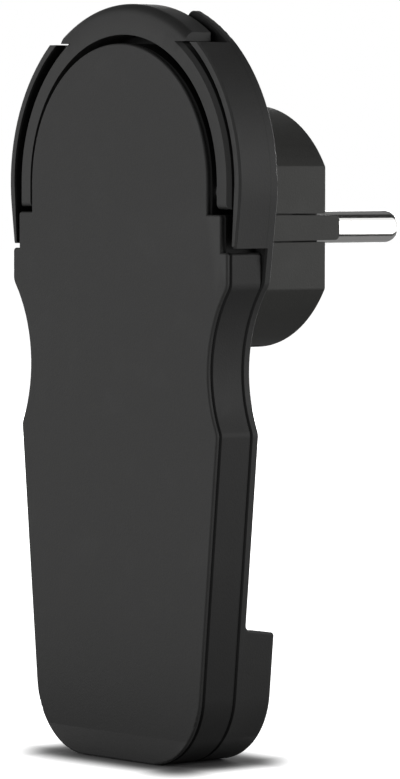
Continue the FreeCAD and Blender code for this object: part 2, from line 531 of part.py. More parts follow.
def make_rear_shell():
    """Back plate with the head wall in front of it and the hollow foot behind it."""
    body = new_piece("rear_shell")
    brim = ("recess_half", "(head_rise + sqrt(head_radius ^ 2 - recess_half ^ 2))")
    floor = "(head_rise + head_radius - recess_depth)"
    head_side = [SIDE_TURN + (("head_radius", 1),), brim, ("recess_half", floor), ("0", floor)]
    side = handle_half("0", "plate_half")
    add(body, "XZ", FRAME_BACK, PLATE_BACK, [mirrored(side + head_side)])
    soften(body, "soft_corner", upright_at(side[2:4]))
    soften(body, "brim_round", upright_at([brim]))
    soften(body, "recess_round", upright_at([("recess_half", floor)]))
    bevel(body, "groove", rim_at(FRAME_BACK))
    low = "-wall_drop"
    outer_low = f"({SIDE_TURN[0]} + ({SIDE_TURN[1]} + wall_drop) * {SIDE_Z} / {SIDE_X})"
    outer_high = "sqrt(head_radius ^ 2 - (horn_rise - head_rise) ^ 2)"
    inner_low = f"({outer_low} - wall_end)"
    inner_high = f"sqrt({HEAD_INNER} ^ 2 - (horn_rise - head_rise) ^ 2)"
    right_wall = [
        (outer_low, low),
        SIDE_TURN + (("head_radius", 1),),
        (outer_high, "horn_rise"),
        (inner_high, "horn_rise", (HEAD_INNER, -1)),
        (HEAD_INNER, "head_rise"),
        (inner_low, low),
    ]
    left_wall = [
        (f"-{outer_low}", low),
        (f"-{inner_low}", low),
        (f"-{HEAD_INNER}", "head_rise", (HEAD_INNER, -1)),
        (f"-{inner_high}", "horn_rise"),
        (f"-{outer_high}", "horn_rise", ("head_radius", 1)),
        (f"-{SIDE_TURN[0]}", SIDE_TURN[1]),
    ]
    add(body, "XZ", COVER_BACK, f"({FRAME_BACK} + groove)", [right_wall, left_wall])
    rim = value("head_radius - wall_end / 2")
    head = value("head_rise")
    across = value(SIDE_X)
    rise = value(SIDE_Z)

    def outside(x, z):
        return max(math.hypot(x, z - head), abs(x) * across + (z - head) * rise) > rim

    bevel(body, "edge_round", rim_at(COVER_BACK, outside))
    slope = f"(({side[2][0]} - {side[1][0]}) / (({side[2][1]}) - ({side[1][1]})))"
    foot_half = f"({side[1][0]} + {slope} * (-foot_drop - ({side[1][1]})))"
    foot = mirrored(side[:2] + [(foot_half, "-foot_drop"), ("0", "-foot_drop")])
    add(body, "XZ", PLATE_BACK, FOOT_BACK, [foot])
    fall = "foot_slope * (foot_depth + 1) / foot_depth"
    wedge = [
        (PLATE_BACK, "-foot_drop"),
        (f"({FOOT_BACK} + 1)", f"-(foot_drop + {fall})"),
        (f"({FOOT_BACK} + 1)", "-(foot_drop - 1)"),
        (PLATE_BACK, "-(foot_drop - 1)"),
    ]
    cut(body, "YZ", "-shoulder_half", "shoulder_half", [wedge])
    soften(body, "foot_round", rim_at(FOOT_BACK))
    foot_top = -value("foot_drop")
    root_edge = rim_at(PLATE_BACK, lambda x, z: abs(z - foot_top) < 0.01 and abs(x) < 1)
    soften(body, "foot_root", root_edge)
    side_end = value(PLATE_WAIST_TOP)
    soften(body, "head_round", rim_at(PLATE_BACK, lambda x, z: z > side_end + 1))
    ahead = f"({FRAME_BACK} - {OVERRUN})"
    behind = f"({PLATE_BACK} + {OVERRUN})"
    duct = box_loop("-duct_half", "duct_half", "-(bottom_drop - wall)", "-(foot_drop + duct_lid)")
    cut(body, "XZ", ahead, DUCT_BACK, [duct])
    pillars = [(side, "-clamp_drop", "pillar_radius") for side in ("pillar_side", "-pillar_side")]
    add(body, "XZ", "(clamp_front + clamp_thickness)", DUCT_BACK, circles=pillars)
    holes = [(side, "-clamp_drop", "screw_radius") for side in ("pillar_side", "-pillar_side")]
    cut(body, "XZ", "clamp_front", f"({DUCT_BACK} - 0.5)", circles=holes)
    window = "chamber_outer"
    slot = "(nose_half + run_gap)"
    slot_half = "(slide_wing_half + fit_gap)"
    notch = "window_notch_half"
    half_height = "window_half_height"
    rise = "window_notch_rise"
    quarter = [
        (slot, slot_half),
        (window, slot_half),
        (window, half_height),
        (notch, half_height),
        (notch, rise),
    ]
    upper = quarter + [(f"-{x}", z) for x, z in reversed(quarter)]
    lower = [(f"-{x}", f"-{z}") for x, z in upper]
    cut(body, "XZ", ahead, behind, [upper + lower])
    corners = [(x, z, "(screw_radius + fit_gap)") for x, z in nose_screw_places()]
    cut(body, "XZ", ahead, behind, circles=corners)
    cut(body, "XZ", ahead, behind, circles=[(x, z, "(screw_radius + fit_gap)") for x, z in BOSSES])
    wells = [(x, z, "(screw_head + fit_gap)") for x, z in BOSSES]
    cut(body, "XZ", SCREW_SEAT, f"({FOOT_BACK} + {OVERRUN})", circles=wells)
    inlet = [("0", FRAME_BACK, "(bush_neck + fit_gap)")]
    cut(body, "XY", f"-(bottom_drop + {OVERRUN})", f"-(bottom_drop - wall - {OVERRUN})", circles=inlet)


def nose_screw_places():
    """Where the four screws of the nose stand."""
    return [
        (f"{side} * nose_screw_side", f"{rise} * nose_screw_rise")
        for side in (RIGHT, LEFT)
        for rise in (1, -1)
    ]


def make_plug_nose():
    """Nose with two flat sides, pin chambers, slots for the slides and seats for the earth pieces."""
    body = new_piece("plug_nose")
    outline = [
        ("nose_half", f"-{NOSE_FLAT}"),
        ("nose_half", NOSE_FLAT, ("nose_radius", 1)),
        ("-nose_half", NOSE_FLAT),
        ("-nose_half", f"-{NOSE_FLAT}", ("nose_radius", 1)),
    ]
    add(body, "XZ", PLATE_BACK, PLUG_FACE, [outline])
    soften(body, "nose_corner", upright_at([outline[0], outline[1]]))
    soften(body, "nose_round", rim_at(PLUG_FACE))
    front = f"({PLATE_BACK} - {OVERRUN})"
    back = f"({PLUG_FACE} + {OVERRUN})"
    tall = "chamber_half_height"
    chambers = [
        box_loop("chamber_inner", "chamber_outer", f"-{tall}", tall),
        box_loop("-chamber_outer", "-chamber_inner", f"-{tall}", tall),
    ]
    cut(body, "XZ", front, CHAMBER_FLOOR, chambers)
    bore = "(pin_radius + pin_step + run_gap)"
    bores = [(f"{side} * pin_half_spacing", "0", bore) for side in (RIGHT, LEFT)]
    cut(body, "XZ", f"({CHAMBER_FLOOR} - {OVERRUN})", back, circles=bores)
    root = "(slide_root_half + slot_gap)"
    tip = "(slide_tip_half + slot_gap)"
    wing = "(slide_wing_half + run_gap)"
    fall = f"((slide_root_half - slide_tip_half) / ({SLIDE_TIP} - {PLATE_BACK}))"
    root_out = f"({root} + {fall} * {OVERRUN})"
    tip_out = f"({tip} + {fall} * (slide_travel - {OVERRUN}))"
    taper = [(front, f"-{root_out}"), (back, f"-{tip_out}"), (back, tip_out), (front, root_out)]
    inner = f"({SLIDE_INNER} - run_gap)"
    outer = f"(nose_half + {OVERRUN})"
    wing_outer = f"({SLIDE_INNER} + slide_flange + run_gap)"
    for start, end, wing_start, wing_end in (
        (inner, outer, inner, wing_outer),
        (f"-{outer}", f"-{inner}", f"-{wing_outer}", f"-{inner}"),
    ):
        cut(body, "YZ", start, end, [taper])
        cut(body, "YZ", wing_start, wing_end, [box_loop(front, CHAMBER_FLOOR, f"-{wing}", wing)])
    strap = "(strap_half + fit_gap)"
    rim = f"(nose_radius + {OVERRUN})"
    cut(body, "XZ", front, STRAP_FLOOR, [box_loop(f"-{strap}", strap, f"-{rim}", rim)])
    bed = f"({ARM_RISE} - strap_hook - strap_room)"
    beds = [box_loop(f"-{strap}", strap, bed, rim), box_loop(f"-{strap}", strap, f"-{rim}", f"-{bed}")]
    cut(body, "XZ", f"({STRAP_FLOOR} - {OVERRUN})", f"({STRAP_REACH} + strap_room)", beds)
    tube = [("0", "earth_rise", "(earth_bore + earth_tube + fit_gap)")]
    cut(body, "XZ", f"({STRAP_FLOOR} - {OVERRUN})", f"({PLUG_FACE} - earth_lead)", circles=tube)
    mouth = [("0", "earth_rise", "(earth_bore + earth_mouth)")]
    cut(body, "XZ", f"({PLUG_FACE} - earth_lead - {OVERRUN})", back, circles=mouth)
    screw = [("0", "-earth_screw_drop", "earth_screw")]
    cut(body, "XZ", f"({STRAP_FLOOR} - {OVERRUN})", f"({STRAP_FLOOR} + earth_screw_length)", circles=screw)
    screws = [(x, z, "screw_radius") for x, z in nose_screw_places()]
    cut(body, "XZ", front, f"({FRAME_BACK} + nose_screw_length + {OVERRUN})", circles=screws)


def make_pull_bail():
    """Ring in the gap round the tongue, with a finger crown on top and round ends on the pivots."""
    body = new_piece("pull_bail")
    low = "(pivot_rise - bail_depth / 2)"
    ring = [
        ("bail_outer", low),
        ("bail_outer", "head_rise", ("bail_outer", 1)),
        ("0", "(head_rise + bail_outer)", ("bail_outer", 1)),
        ("-bail_outer", "head_rise"),
        ("-bail_outer", low),
        ("-bail_inner", low),
        ("-bail_inner", "head_rise", ("bail_inner", -1)),
        ("0", "(head_rise + bail_inner)", ("bail_inner", -1)),
        ("bail_inner", "head_rise"),
        ("bail_inner", low),
    ]
    add(body, "XZ", COVER_BACK, BAIL_BACK, [ring])
    head = value("head_rise")
    outer = value("bail_outer")
    bevel(body, "bail_bevel", rim_at(COVER_BACK, lambda x, z: math.hypot(x, max(z - head, 0)) > outer - 0.1))
    inside = "(bail_inner / 2 + bail_outer / 2)"
    root = f"sqrt({inside} ^ 2 - (crown_foot - head_rise) ^ 2)"
    crown = [
        ("crown_half", "crown_foot"),
        ("crown_half", "crown_side", ("crown_radius", 1)),
        ("-crown_half", "crown_side"),
        ("-crown_half", "crown_foot"),
        (f"-{root}", "crown_foot", (inside, -1)),
        (root, "crown_foot"),
    ]
    add(body, "XZ", COVER_BACK, BAIL_BACK, [crown])
    corner = value("crown_side")
    soften(
        body,
        "crown_round",
        rim_at(COVER_BACK, lambda x, z: z > corner + 1 and math.hypot(x, z - head) > outer + 1),
    )
    front = f"({COVER_BACK} - {OVERRUN})"
    back = f"({BAIL_BACK} + {OVERRUN})"
    under = f"({low} - {OVERRUN})"
    ends = [
        (front, under),
        (back, under),
        (back, "pivot_rise"),
        (BAIL_BACK, "pivot_rise", ("(bail_depth / 2)", -1)),
        (PIVOT_DEPTH, low),
        (f"({COVER_BACK} + bail_end_round)", low, ("bail_end_round", -1)),
        (COVER_BACK, f"({low} + bail_end_round)"),
        (front, f"({low} + bail_end_round)"),
    ]
    cut(body, "YZ", "-head_radius", "head_radius", [ends])
    seat = [(PIVOT_DEPTH, "pivot_rise", "pivot_radius + run_gap")]
    reach = "(bail_inner + pivot_seat)"
    cut(body, "YZ", f"-{reach}", reach, circles=seat)


def make_pivot(label, side):
    """Pin that hinges one leg of the bail on the frame."""
    body = new_piece(label)
    near = "(nose_half + bearing_gap + pivot_inset)"
    far = "(bail_inner + pivot_seat)"
    start, end = (near, far) if side > 0 else (f"-{far}", f"-{near}")
    add(body, "YZ", start, end, circles=[(PIVOT_DEPTH, "pivot_rise", "pivot_radius")])


def make_contact_pin(label, side):
    """Round pin with a collar inside the nose and a terminal end."""
    body = new_piece(label)
    place = (f"{side} * pin_half_spacing", "0")
    tip = f"({PLUG_FACE} + pin_length)"
    add(body, "XZ", PLUG_FACE, tip, circles=[place + ("pin_radius",)])
    soften(body, "pin_radius * 0.92", rim_at(tip))
    add(body, "XZ", CHAMBER_FLOOR, PLUG_FACE, circles=[place + ("(pin_radius + pin_step)",)])
    add(body, "XZ", COLLAR_FRONT, CHAMBER_FLOOR, circles=[place + ("pin_collar",)])
    add(body, "XZ", TAIL_FRONT, COLLAR_FRONT, circles=[place + ("pin_tail",)])
    bore_end = f"({TAIL_FRONT} + wire_place)"
    cut(body, "XZ", f"({TAIL_FRONT} - {OVERRUN})", bore_end, circles=[place + ("terminal_radius",)])
    far = "(pin_tail + 1)"
    cut(body, "XY", f"-{far}", far, circles=[(place[0], bore_end, "wire_bore")])


def make_screws(label, places, shank, head, front, seat, end):
    """Slotted screws that point backwards, as separate solids in one piece."""
    shapes = []
    for x, z in places:
        first = doc.addObject("Part::Cylinder", f"{label}_head")
        second = doc.addObject("Part::Cylinder", f"{label}_shank")
        slot = doc.addObject("Part::Box", f"{label}_slot")
        for item, radius, start, stop in ((first, head, front, seat), (second, shank, seat, end)):
            bind(item, "Radius", radius)
            bind(item, "Height", f"abs({stop} - ({start}))")
            lower = start if value(stop) > value(start) else stop
            bind(item, "Placement.Base.x", x)
            bind(item, "Placement.Base.y", f"{lower} - {PLUG_FACE}")
            bind(item, "Placement.Base.z", z)
            item.Placement.Rotation = FreeCAD.Rotation(Vector(1, 0, 0), -90)
        forward = value(seat) > value(front)
        bind(slot, "Length", f"2 * {head} + 1")
        bind(slot, "Width", "slot_depth + 1")
        bind(slot, "Height", "screw_slot")
        bind(slot, "Placement.Base.x", f"{x} - {head} - 0.5")
        bind(slot, "Placement.Base.y", f"{front} - {PLUG_FACE} - " + ("1" if forward else "slot_depth"))
        bind(slot, "Placement.Base.z", f"{z} - screw_slot / 2")
        both = doc.addObject("Part::Fuse", f"{label}_blank")
        both.Base = first
        both.Tool = second
        whole = doc.addObject("Part::Cut", f"{label}_screw")
        whole.Base = both
        whole.Tool = slot
        shapes.append(whole)
    screws = doc.addObject("Part::Compound", label)
    screws.Links = shapes
    screws.Label = label
    pieces.append(screws)


def make_pin_keeper(label, side):
    """Block that is pressed into a pin chamber and holds the pin's collar on its floor."""
    body = new_piece(label)
    tall = "(chamber_half_height - run_gap)"
    near = "(chamber_inner + run_gap)"
    far = "(chamber_outer - run_gap)"
    start, end = (near, far) if side > 0 else (f"-{far}", f"-{near}")
    front = f"({COLLAR_FRONT} - keeper_depth)"
    add(body, "XZ", front, COLLAR_FRONT, [box_loop(start, end, f"-{tall}", tall)])
    hole = [(f"{side} * pin_half_spacing", "0", "(pin_tail + run_gap)")]
    cut(body, "XZ", f"({front} - {OVERRUN})", f"({COLLAR_FRONT} + {OVERRUN})", circles=hole)


def make_slide(label, side):
    """Bar that stands out of the plug face, with wings that keep it in its slot."""
    body = new_piece(label)
    inner = SLIDE_INNER
    outer = "nose_half"
    flange = f"({SLIDE_INNER} + slide_flange)"
    root = "slide_root_half"
    tip = "slide_tip_half"
    wing = "slide_wing_half"
    bar = [
        (SLIDE_FRONT, f"-{root}"),
        (PLATE_BACK, f"-{root}"),
        (SLIDE_TIP, f"-{tip}"),
        (SLIDE_TIP, tip),
        (PLATE_BACK, root),
        (SLIDE_FRONT, root),
    ]
    start, end = (inner, outer) if side > 0 else (f"-{outer}", f"-{inner}")
    add(body, "YZ", start, end, [bar])
    tip_edges = value(SLIDE_TIP) - 0.01
    soften(
        body,
        "slide_round",
        lambda edge: edge.BoundBox.YMin > tip_edges and edge.BoundBox.ZLength < 0.01,
    )
    start, end = (inner, flange) if side > 0 else (f"-{flange}", f"-{inner}")
    wings = box_loop(SLIDE_FRONT, f"({CHAMBER_FLOOR} - run_gap)", f"-{wing}", wing)
    add(body, "YZ", start, end, [wings])
    peg = [(f"{side} * {SPRING_SIDE}", "0", "peg_radius")]
    add(body, "XZ", f"({SLIDE_FRONT} - peg_length)", SLIDE_FRONT, circles=peg)


def make_spring(label, side):
    """Round-wire spring between the cover and a slide."""
    length = f"({SLIDE_FRONT} - {STEP_BACK} - 2 * spring_wire)"
    helix = doc.addObject("Part::Helix", f"{label}_path")
    bind(helix, "Radius", "spring_radius")
    bind(helix, "Height", length)
    bind(helix, "Pitch", f"{length} / spring_turns")
    bind(helix, "Placement.Base.x", f"{side} * {SPRING_SIDE}")
    bind(helix, "Placement.Base.y", f"{STEP_BACK} + spring_wire - {PLUG_FACE}")
    helix.Placement.Rotation = FreeCAD.Rotation(Vector(1, 0, 0), -90)
    wire = doc.addObject("Part::Circle", f"{label}_section")
    bind(wire, "Radius", "spring_wire")
    bind(wire, "Placement.Base.x", f"{side} * {SPRING_SIDE} + spring_radius")
    bind(wire, "Placement.Base.y", f"{STEP_BACK} + spring_wire - {PLUG_FACE}")
    doc.recompute()
    coil = doc.addObject("Part::Sweep", label)
    coil.Sections = [wire]
    coil.Spine = (helix, [])
    coil.Solid = True
    coil.Frenet = True
    coil.Label = label
    pieces.append(coil)


def make_earth_strap():
    """One sheet strip: a web in the nose's seat and two bowed arms in its upper and lower grooves."""
    body = new_piece("earth_strap")
    web_front = f"({STRAP_FLOOR} - strap_sheet)"
    arm = ARM_RISE
    under = f"({ARM_RISE} - strap_sheet)"
    hook = f"({ARM_RISE} - strap_hook)"
    hook_front = f"({STRAP_REACH} - strap_sheet)"
    chord = f"(({STRAP_REACH} - {web_front}) / 2)"
    bow = f"(({chord} ^ 2 + strap_bow ^ 2) / (2 * strap_bow))"
    inner_bow = f"({bow} - strap_sheet)"
    upper = [
        (web_front, arm, (bow, -1)),
        (STRAP_REACH, arm),
        (STRAP_REACH, hook),
        (hook_front, hook),
        (hook_front, under, (inner_bow, 1)),
        (STRAP_FLOOR, under),
    ]
    lower = [
        (STRAP_FLOOR, f"-{under}", (inner_bow, 1)),
        (hook_front, f"-{under}"),
        (hook_front, f"-{hook}"),
        (STRAP_REACH, f"-{hook}"),
        (STRAP_REACH, f"-{arm}", (bow, -1)),
        (web_front, f"-{arm}"),
    ]
    add(body, "YZ", "-strap_half", "strap_half", [upper + lower])
    holes = [
        ("0", "earth_rise", "(rivet_radius + run_gap)"),
        ("0", "-earth_screw_drop", "(earth_screw + run_gap)"),
    ]
    cut(body, "XZ", f"({web_front} - {OVERRUN})", f"({STRAP_FLOOR} + {OVERRUN})", circles=holes)


def make_earth_socket():
    """Slit tube behind the hole in the plug face, riveted to the strap."""
    body = new_piece("earth_socket")
    web_front = f"({STRAP_FLOOR} - strap_sheet)"
    end = f"({PLUG_FACE} - earth_lead)"
    place = ("0", "earth_rise")
    add(body, "XZ", STRAP_FLOOR, end, circles=[place + ("(earth_bore + earth_tube)",)])
    bore = [place + ("earth_bore",)]
    cut(body, "XZ", f"({STRAP_FLOOR} + earth_tube)", f"({end} + {OVERRUN})", circles=bore)
    wide = "(earth_bore + earth_tube + 1)"
    half = "(earth_slit / 2)"
    across = box_loop(f"-{half}", half, f"(earth_rise - {wide})", f"(earth_rise + {wide})")
    cut(body, "XZ", f"({end} - earth_slit_length)", f"({end} + {OVERRUN})", [across])
    add(body, "XZ", web_front, STRAP_FLOOR, circles=[place + ("rivet_radius",)])
    add(body, "XZ", f"({web_front} - rivet_head_depth)", web_front, circles=[place + ("rivet_head",)])


def make_clamp_bar():
    """Bar that presses the cord on the shell, with a ridge across the cord."""
    body = new_piece("cord_clamp_bar")
    back = "(clamp_front + clamp_thickness)"
    low = "-(clamp_drop + clamp_half_height)"
    high = "-(clamp_drop - clamp_half_height)"
    add(body, "XZ", "clamp_front", back, [box_loop("-clamp_half", "clamp_half", low, high)])
    ridge = "(pillar_side - pillar_radius - 0.4)"
    strip = box_loop(f"-{ridge}", ridge, "-(clamp_drop + clamp_ridge)", "-(clamp_drop - clamp_ridge)")
    add(body, "XZ", back, f"({back} + clamp_ridge)", [strip])
    holes = [(side, "-clamp_drop", "(screw_radius + fit_gap)") for side in ("pillar_side", "-pillar_side")]
    cut(body, "XZ", f"(clamp_front - {OVERRUN})", f"({back} + {OVERRUN})", circles=holes)


def make_bush():
    """Flanged tube that lines the cord hole at the plug's lower end."""
    body = new_piece("cord_inlet_bush")
    low = "-(bottom_drop - bush_recess)"
    seat = "-(bottom_drop - wall)"
    top = "-(bottom_drop - wall - bush_flange_length)"
    place = ("0", FRAME_BACK)
    add(body, "XY", low, seat, circles=[place + ("bush_neck",)])
    add(body, "XY", seat, top, circles=[place + ("bush_flange",)])
    cut(body, "XY", f"({low} - {OVERRUN})", f"({top} + {OVERRUN})", circles=[place + ("cord_radius",)])


make_front_cover()
make_middle_frame()
make_rear_shell()
make_plug_nose()
make_pull_bail()
for name, side in (("left", LEFT), ("right", RIGHT)):
    make_pivot("bail_pivot_" + name, side)
    make_contact_pin("contact_pin_" + name, side)
    make_pin_keeper("pin_keeper_" + name, side)
    make_slide("ejector_slide_" + name, side)
    make_spring("ejector_spring_" + name, side)
make_earth_strap()
make_earth_socket()
make_clamp_bar()
make_bush()

sides = (RIGHT, LEFT)
pin_places = [(f"{side} * pin_half_spacing", "0") for side in sides]
pillar_places = [(f"{side} * pillar_side", "-clamp_drop") for side in sides]
terminal_front = f"({TAIL_FRONT} - terminal_proud)"
make_screws(
    "terminal_screws",
    pin_places,
    "terminal_radius",
    "terminal_radius",
    terminal_front,
    TAIL_FRONT,
    f"({terminal_front} + terminal_length)",
)
web_front = f"({STRAP_FLOOR} - strap_sheet)"
make_screws(
    "earth_terminal_screw",
    [("0", "-earth_screw_drop")],
    "earth_screw",
    "earth_screw_head",
    f"({web_front} - screw_head_depth)",
    web_front,
    f"({web_front} + earth_screw_length)",
)
make_screws(
    "nose_screws",
    nose_screw_places(),
    "screw_radius",
    "screw_head",
    f"({FRAME_BACK} - screw_head_depth)",
    FRAME_BACK,
    f"({FRAME_BACK} + nose_screw_length)",
)
make_screws(
    "cord_clamp_screws",
    pillar_places,
    "screw_radius",
    "screw_head",
    "(clamp_front - screw_head_depth)",
    "clamp_front",
    "(clamp_front + clamp_screw_length)",
)
make_screws(
    "housing_screws",
    BOSSES,
    "screw_radius",
    "screw_head",
    f"({SCREW_SEAT} + screw_head_depth)",
    SCREW_SEAT,
    f"({STEP_BACK} + boss_floor + boss_rest)",
)
doc.recompute()

bad = [item.Label for item in doc.Objects if "Invalid" in item.State or "Error" in item.State]
bad += [piece.Label for piece in pieces if piece.Shape.isNull() or not piece.Shape.isValid()]
if bad:
    raise RuntimeError("not sound: " + ", ".join(bad))

os.makedirs("parts", exist_ok=True)
for piece in pieces:
    piece.Shape.exportStep(f"parts/{piece.Label}.step")
    print(piece.Label, len(piece.Shape.Solids), round(piece.Shape.Volume, 2))
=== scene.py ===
import json
import math

import bmesh
import bpy
from mathutils import Matrix, Vector

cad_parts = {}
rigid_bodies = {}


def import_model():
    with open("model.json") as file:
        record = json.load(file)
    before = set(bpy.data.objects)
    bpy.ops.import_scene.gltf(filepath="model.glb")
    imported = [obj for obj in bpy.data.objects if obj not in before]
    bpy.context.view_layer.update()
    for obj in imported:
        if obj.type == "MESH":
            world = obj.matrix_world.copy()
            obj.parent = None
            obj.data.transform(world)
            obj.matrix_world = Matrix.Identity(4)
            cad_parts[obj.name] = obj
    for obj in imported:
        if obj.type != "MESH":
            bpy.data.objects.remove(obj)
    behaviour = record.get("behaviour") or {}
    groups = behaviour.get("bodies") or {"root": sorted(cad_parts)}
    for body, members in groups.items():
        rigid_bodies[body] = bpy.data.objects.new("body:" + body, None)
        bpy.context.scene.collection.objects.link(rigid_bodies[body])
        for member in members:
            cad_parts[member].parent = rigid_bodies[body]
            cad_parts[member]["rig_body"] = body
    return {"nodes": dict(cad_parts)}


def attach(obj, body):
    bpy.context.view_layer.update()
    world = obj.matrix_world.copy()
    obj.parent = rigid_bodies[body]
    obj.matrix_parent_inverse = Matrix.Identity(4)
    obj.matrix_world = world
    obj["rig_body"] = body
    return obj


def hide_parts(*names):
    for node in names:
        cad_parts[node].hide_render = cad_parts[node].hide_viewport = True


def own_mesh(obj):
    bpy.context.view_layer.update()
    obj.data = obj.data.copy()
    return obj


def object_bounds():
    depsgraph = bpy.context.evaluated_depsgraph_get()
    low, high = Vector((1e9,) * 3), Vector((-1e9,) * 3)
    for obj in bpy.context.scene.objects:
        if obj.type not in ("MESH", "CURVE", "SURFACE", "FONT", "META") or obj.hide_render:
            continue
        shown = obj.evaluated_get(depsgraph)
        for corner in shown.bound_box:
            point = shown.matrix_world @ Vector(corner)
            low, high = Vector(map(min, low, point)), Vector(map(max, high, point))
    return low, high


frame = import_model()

bl_info = {
    "name": "Flat plug looks",
    "version": (1, 0, 0),
    "blender": (4, 5, 0),
    "location": "3D View > Sidebar > Plug",
    "description": "Dresses a flat angled plug and sets it on a pale studio floor",
    "category": "Object",
}

CAD_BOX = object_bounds()

# All places and sizes below are in metres of the part's frame, unless a comment says otherwise.

# Nodes of the frame that share a finish. Those of the housing are in SHELL_NODES, further down.
NOSE_NODES = ("plug_nose", "ejector_slide_left", "ejector_slide_right")
PIN_NODES = ("contact_pin_left", "contact_pin_right")
EARTH_NODES = ("earth_strap", "earth_socket")
SCREW_NODES = (
    "terminal_screws",
    "earth_terminal_screw",
    "nose_screws",
    "housing_screws",
    "cord_clamp_screws",
)
PIVOT_NODES = ("bail_pivot_left", "bail_pivot_right")
INNER_NODES = ("pin_keeper_left", "pin_keeper_right", "cord_clamp_bar")
BUSH_NODES = ("cord_inlet_bush",)

# Springs with the joint that squeezes each.
SPRING_JOINTS = (
    ("ejector_spring_left", "slide_left_push"),
    ("ejector_spring_right", "slide_right_push"),
)

# Corners closer than this are joined. Edges that turn by more than these degrees stay sharp.
JOIN_DISTANCE = 2e-6
CREASE = 32.0
PIN_CREASE = 24.0
COIL_CREASE = 50.0

# Colours of the stage.
WHITE = (1.0, 1.0, 1.0, 1.0)
BLACK = (0.0, 0.0, 0.0, 1.0)

# Mirror strength of the plastics, where 0.5 is that of clear polish, and their roughness before
# clouds, grain and handling change it.
PLASTIC_SHINE = 0.12
SHELL_ROUGHNESS = 0.46
NOSE_ROUGHNESS = 0.42
INNER_ROUGHNESS = 0.5

# Y of the parting line behind the cover and of the one in front of the rear shell, the width of
# the painted shade along the groove at each, and the softness of its edges.
COVER_LINE = -0.0261
SHELL_LINE = -0.0203
GROOVE = 0.0003
GROOVE_SOFT = 0.00005

# Z of the head wall's lower ends and of the middle of the head's round.
WALL_END = -0.00265
WALL_END_SOFT = 0.0001
HEAD_MIDDLE = 0.0065

# Z above which the frame stands in the gap round the tongue, and is painted dark as shade.
GAP_START = (-0.0033, -0.0031)

# Y of the part of that gap on the rear shell that is painted dark as shade, with the softness of
# its ends, and how far a face there may look outward before it counts as the outside of the head
# wall.
GAP_DEPTH = (COVER_LINE + 0.0006, SHELL_LINE + 0.0001)
GAP_SOFT = 0.0005
GAP_OUTWARD = (0.45, 0.6)

# Faces that look to the front as much as this get none of the groove's painted shade.
FRONT_FACING = (-0.9, -0.8)

# Faint line that the mould leaves round the rear shell: half its width and its strength.
WITNESS_HALF = 0.00008
WITNESS_STRENGTH = 0.25

# Camera of the photograph: its place, its turn in degrees, and lens and film in millimetres.
CAMERA_PLACE = (0.56654, -0.484029, 0.011114)
CAMERA_AZIMUTH = 50.1437
CAMERA_FALL = 2.7316
CAMERA_ROLL = 0.1467
CAMERA_LENS = 230.3
FILM_WIDTH = 36.0
CAMERA_CLIP = (0.05, 20.0)

# Soft boxes: place, aim, width and height, and the setting that holds the power.
SOFT_BOXES = (
    ("side_box", (0.56, 0.42, 0.16), (0.0, 0.0, 0.0), (0.5, 0.4), "side_light"),
    ("front_box", (-0.3, -0.85, 0.22), (0.0, 0.0, -0.03), (0.8, 0.5), "front_light"),
    ("rear_box", (-0.45, 0.75, 0.2), (0.0, 0.0, -0.03), (0.7, 0.5), "rear_light"),
)

# Cards that only mirrors see: middle, width and length, and brightness.
CARDS = (
    ("upper_card", (0.045, 0.20, 0.22), (0.13, 0.50), 0.004),
    ("upper_left_card", (-0.27, 0.20, 0.22), (0.50, 0.80), 0.14),
    ("lower_card", (0.050, 0.10, -0.074), (0.030, 0.26), 0.02),
    ("lower_left_card", (-0.115, 0.12, -0.074), (0.30, 0.34), 0.2),
)

# Light from all round, as a share of the white that the camera and mirrors see.
FILL_LEVEL = 0.1

# The floor lies this far below the plug.
FLOOR_GAP = 0.00005

# Painted contact shadow: the plug's footprint on the floor, and how far the painted shadow
# reaches from it across and along the view.
FOOTPRINT = ((-0.013, -0.026), (0.013, -0.0135))
SHADOW_REACH = (0.0088, 0.016)

# In parts of that reach: where the paper's painted shadow tone rises from PAINTED_SHADOW_TONE to
# its own, and where the shine that the camera and mirrors see in it rises from none to
# PAPER_SHINE, so that the shadow is painted into that glow too.
PAINTED_SHADOW_SPAN = (0.0, 1.0)
PAINTED_SHADOW_TONE = 0.12
SHINE_SPAN = (0.25, 1.1)
PAPER_SHINE = 0.95


class Signal:
    """One value or colour on its way through a material, so that shader maths reads as Python."""

    def __init__(self, kit, socket):
        self.kit = kit
        self.socket = socket

    def maths(self, operation, first, second):
        """Result of one sum."""
        values = {0: first, 1: second}
        return self.kit.node("ShaderNodeMath", {"operation": operation}, values, "Value")

    def __add__(self, other):
        return self.maths("ADD", self, other)

    def __mul__(self, other):
        return self.maths("MULTIPLY", self, other)

    def or_else(self, other):
        """The larger of two values."""
        return self.maths("MAXIMUM", self, other)

    def off(self):
        """What is missing to 1."""
        return self.maths("SUBTRACT", 1.0, self)

    def between(self, low, high):
        """0 below low, 1 above high, and a smooth rise between them."""
        return self.kit.node(
            "ShaderNodeMapRange",
            {"interpolation_type": "SMOOTHSTEP"},
            {"Value": self, "From Min": low, "From Max": high},
            "Result",
        )


